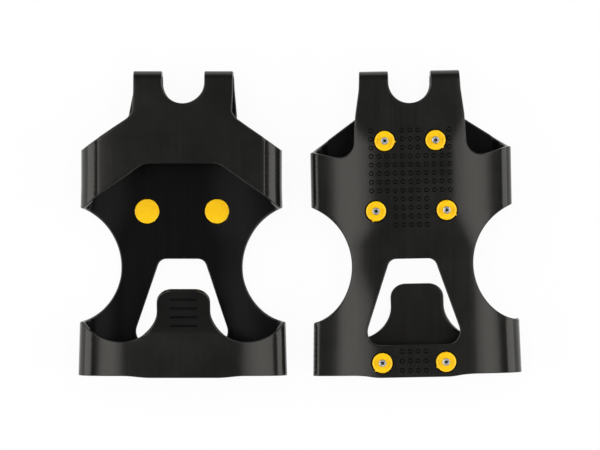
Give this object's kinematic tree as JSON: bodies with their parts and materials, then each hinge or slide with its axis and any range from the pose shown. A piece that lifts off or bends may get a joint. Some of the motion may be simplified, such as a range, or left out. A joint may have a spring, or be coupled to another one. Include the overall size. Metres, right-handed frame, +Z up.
{
  "type": "pair of ice cleats",
  "caption": "Stretch-on ice cleats for shoes: moulded rubber overshoes with a toe loop, waist window and heel strap with pull tab, and steel studs in yellow plugs.",
  "frame": {"origin": "on the surface that the pair lies on, under the middle of its bounding box", "axes": "+X across the pair from the cleat that lies sole down to the one that lies sole up, +Y from heel to toe, +Z up"},
  "size_m": [0.264, 0.1858, 0.046],
  "materials": {
    "black_rubber": "satin",
    "yellow_plastic": "satin",
    "steel": "turned"
  },
  "bodies": {
    "pair": {"left_overshoe": "black_rubber", "left_toe_stud_a_plug": "yellow_plastic", "left_toe_stud_a_pin": "steel", "left_toe_stud_b_plug": "yellow_plastic", "left_toe_stud_b_pin": "steel", "left_ball_stud_a_plug": "yellow_plastic", "left_ball_stud_a_pin": "steel", "left_ball_stud_b_plug": "yellow_plastic", "left_ball_stud_b_pin": "steel", "left_heel_stud_a_plug": "yellow_plastic", "left_heel_stud_a_pin": "steel", "left_heel_stud_b_plug": "yellow_plastic", "left_heel_stud_b_pin": "steel", "right_overshoe": "black_rubber", "right_toe_stud_a_plug": "yellow_plastic", "right_toe_stud_a_pin": "steel", "right_toe_stud_b_plug": "yellow_plastic", "right_toe_stud_b_pin": "steel", "right_ball_stud_a_plug": "yellow_plastic", "right_ball_stud_a_pin": "steel", "right_ball_stud_b_plug": "yellow_plastic", "right_ball_stud_b_pin": "steel", "right_heel_stud_a_plug": "yellow_plastic", "right_heel_stud_a_pin": "steel", "right_heel_stud_b_plug": "yellow_plastic", "right_heel_stud_b_pin": "steel"},
    "left_tab": {"left_pull_tab": "black_rubber"},
    "right_tab": {"right_pull_tab": "black_rubber"}
  },
  "joints": [
    {"name": "left_tab_bend", "type": "hinge", "parent": "pair", "child": "left_tab", "pos_m": [-0.07003, -0.066, 0.0311], "axis": [1, 0, 0], "range_deg": [-67, 38], "stiffness_Nm_per_rad": 0.03},
    {"name": "right_tab_bend", "type": "hinge", "parent": "pair", "child": "right_tab", "pos_m": [0.06954, -0.06568, 0.0014], "axis": [0.9998, 0.0192, 0], "range_deg": [0, 33], "stiffness_Nm_per_rad": 0.03}
  ]
}
